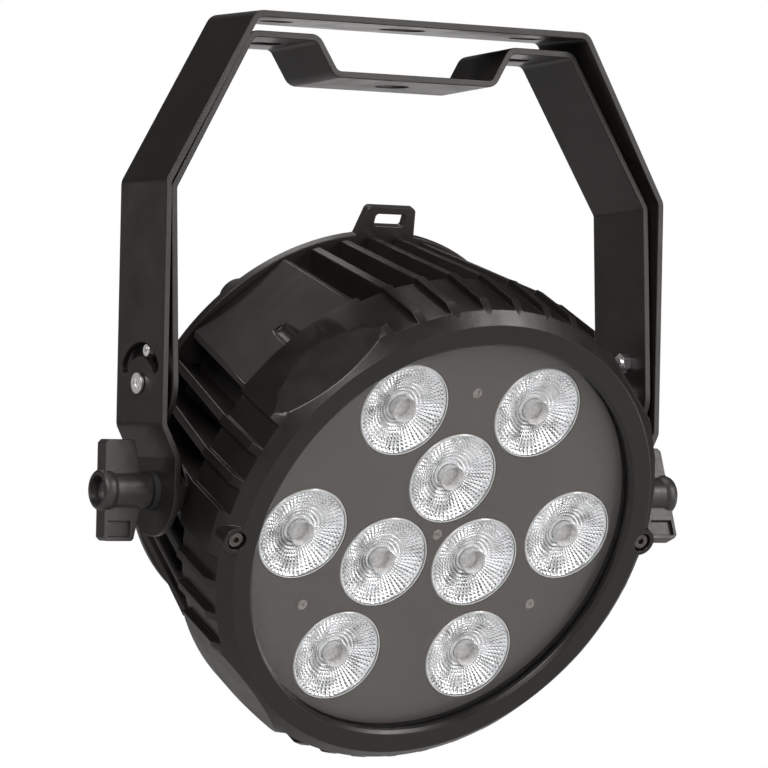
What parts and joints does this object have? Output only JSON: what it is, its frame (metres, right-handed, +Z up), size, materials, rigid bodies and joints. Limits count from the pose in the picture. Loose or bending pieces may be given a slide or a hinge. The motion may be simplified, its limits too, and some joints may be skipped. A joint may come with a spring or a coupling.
{
  "type": "par can light",
  "caption": "Flat par can stage light with a finned round housing, clear lenses behind a window, and a double hanging and standing yoke.",
  "frame": {"origin": "middle of the hanging yoke's flat top face", "axes": "+Z up along the hanging direction, +X along the tilt axis to the lamp's right seen from behind the beam, -Y the way the lamp faces before it tilts down"},
  "size_m": [0.303, 0.1885, 0.3288],
  "materials": {
    "yoke_paint": "satin black powder coat",
    "screw_steel": "zinc plated steel",
    "stud_steel": "turned steel thread",
    "nylon": "black nylon",
    "housing_paint": "satin black powder coat on an aluminium casting",
    "bezel_paint": "satin black powder coat on an aluminium casting",
    "cover_paint": "satin black powder coat on aluminium",
    "window_glass": "clear toughened glass",
    "seal_rubber": "black silicone",
    "foot_rubber": "black moulded rubber",
    "mask_paint": "matt warm grey on aluminium sheet",
    "lens_clear": "clear moulded acrylic",
    "holder_plastic": "black moulded plastic",
    "led_board_white": "white solder mask on aluminium",
    "led_phosphor": "clear dome over yellow phosphor",
    "circuit_board": "green solder mask",
    "supply_board": "bare board with moulded parts",
    "standoff_brass": "turned brass",
    "display_glass": "smoked clear plastic",
    "button_plastic": "black moulded plastic",
    "socket_plastic": "black moulded plastic with steel pins",
    "fuse_plastic": "black moulded plastic",
    "knob_plastic": "black moulded plastic with a fine grain",
    "washer_nylon": "grey nylon",
    "washer_fibre": "pressed fibre"
  },
  "bodies": {
    "outer_yoke": {"outer_yoke": "yoke_paint"},
    "stand_yoke": {"stand_yoke": "yoke_paint", "stand_pivot_screws": "screw_steel", "stand_guide_screws": "screw_steel", "stand_spacers": "nylon", "stand_nuts": "screw_steel"},
    "head": {"finned_housing": "housing_paint", "front_bezel": "bezel_paint", "front_glass": "window_glass", "glass_gasket": "seal_rubber", "bezel_screws": "screw_steel", "mask_plate": "mask_paint", "mask_screws": "screw_steel", "lens_1": "lens_clear", "lens_2": "lens_clear", "lens_3": "lens_clear", "lens_4": "lens_clear", "lens_5": "lens_clear", "lens_6": "lens_clear", "lens_7": "lens_clear", "lens_8": "lens_clear", "lens_9": "lens_clear", "lens_holder_1": "holder_plastic", "lens_holder_2": "holder_plastic", "lens_holder_3": "holder_plastic", "lens_holder_4": "holder_plastic", "lens_holder_5": "holder_plastic", "lens_holder_6": "holder_plastic", "lens_holder_7": "holder_plastic", "lens_holder_8": "holder_plastic", "lens_holder_9": "holder_plastic", "led_board": "led_board_white", "led_emitters": "led_phosphor", "board_screws": "screw_steel", "driver_board": "circuit_board", "power_supply": "supply_board", "standoffs": "standoff_brass", "rear_cover": "cover_paint", "rear_cover_screws": "screw_steel", "rear_gasket": "seal_rubber", "rubber_feet": "foot_rubber", "display_window": "display_glass", "display_board": "circuit_board", "power_inlet": "socket_plastic", "power_outlet": "socket_plastic", "signal_inlet": "socket_plastic", "signal_outlet": "socket_plastic", "fuse_holder": "fuse_plastic", "friction_washers": "washer_fibre"},
    "left_washer": {"left_knob_washer": "washer_nylon"},
    "left_knob": {"left_knob": "knob_plastic", "left_knob_stud": "stud_steel"},
    "right_washer": {"right_knob_washer": "washer_nylon"},
    "right_knob": {"right_knob": "knob_plastic", "right_knob_stud": "stud_steel"},
    "menu_button_1": {"menu_button_1": "button_plastic"},
    "menu_button_2": {"menu_button_2": "button_plastic"},
    "menu_button_3": {"menu_button_3": "button_plastic"},
    "menu_button_4": {"menu_button_4": "button_plastic"}
  },
  "joints": [
    {"name": "head_tilt", "type": "hinge", "parent": "outer_yoke", "child": "head", "pos_m": [0, 0, -0.21], "axis": [1, 0, 0], "range_deg": [-115, 155]},
    {"name": "stand_swing", "type": "hinge", "parent": "outer_yoke", "child": "stand_yoke", "pos_m": [0, 0, -0.1636], "axis": [1, 0, 0], "range_deg": [-75, 43]},
    {"name": "left_knob_travel", "type": "slide", "parent": "head", "child": "left_washer", "axis": [-1, 0, 0], "range_m": [0, 0.0025]},
    {"name": "left_knob_turn", "type": "hinge", "parent": "left_washer", "child": "left_knob", "pos_m": [-0.14, 0, -0.21], "axis": [-1, 0, 0], "range_deg": [0, 720]},
    {"name": "right_knob_travel", "type": "slide", "parent": "head", "child": "right_washer", "axis": [1, 0, 0], "range_m": [0, 0.0025]},
    {"name": "right_knob_turn", "type": "hinge", "parent": "right_washer", "child": "right_knob", "pos_m": [0.14, 0, -0.21], "axis": [1, 0, 0], "range_deg": [0, 720]},
    {"name": "menu_button_1_press", "type": "slide", "parent": "head", "child": "menu_button_1", "axis": [0, -0.9041, -0.4274], "range_m": [0, 0.001], "stiffness_N_per_m": 200},
    {"name": "menu_button_2_press", "type": "slide", "parent": "head", "child": "menu_button_2", "axis": [0, -0.9041, -0.4274], "range_m": [0, 0.001], "stiffness_N_per_m": 200},
    {"name": "menu_button_3_press", "type": "slide", "parent": "head", "child": "menu_button_3", "axis": [0, -0.9041, -0.4274], "range_m": [0, 0.001], "stiffness_N_per_m": 200},
    {"name": "menu_button_4_press", "type": "slide", "parent": "head", "child": "menu_button_4", "axis": [0, -0.9041, -0.4274], "range_m": [0, 0.001], "stiffness_N_per_m": 200}
  ],
  "couplings": [
    {"joint": "left_knob_turn", "follows": "left_knob_travel", "rad_per_m": 5026.5},
    {"joint": "right_knob_turn", "follows": "right_knob_travel", "rad_per_m": 5026.5}
  ]
}
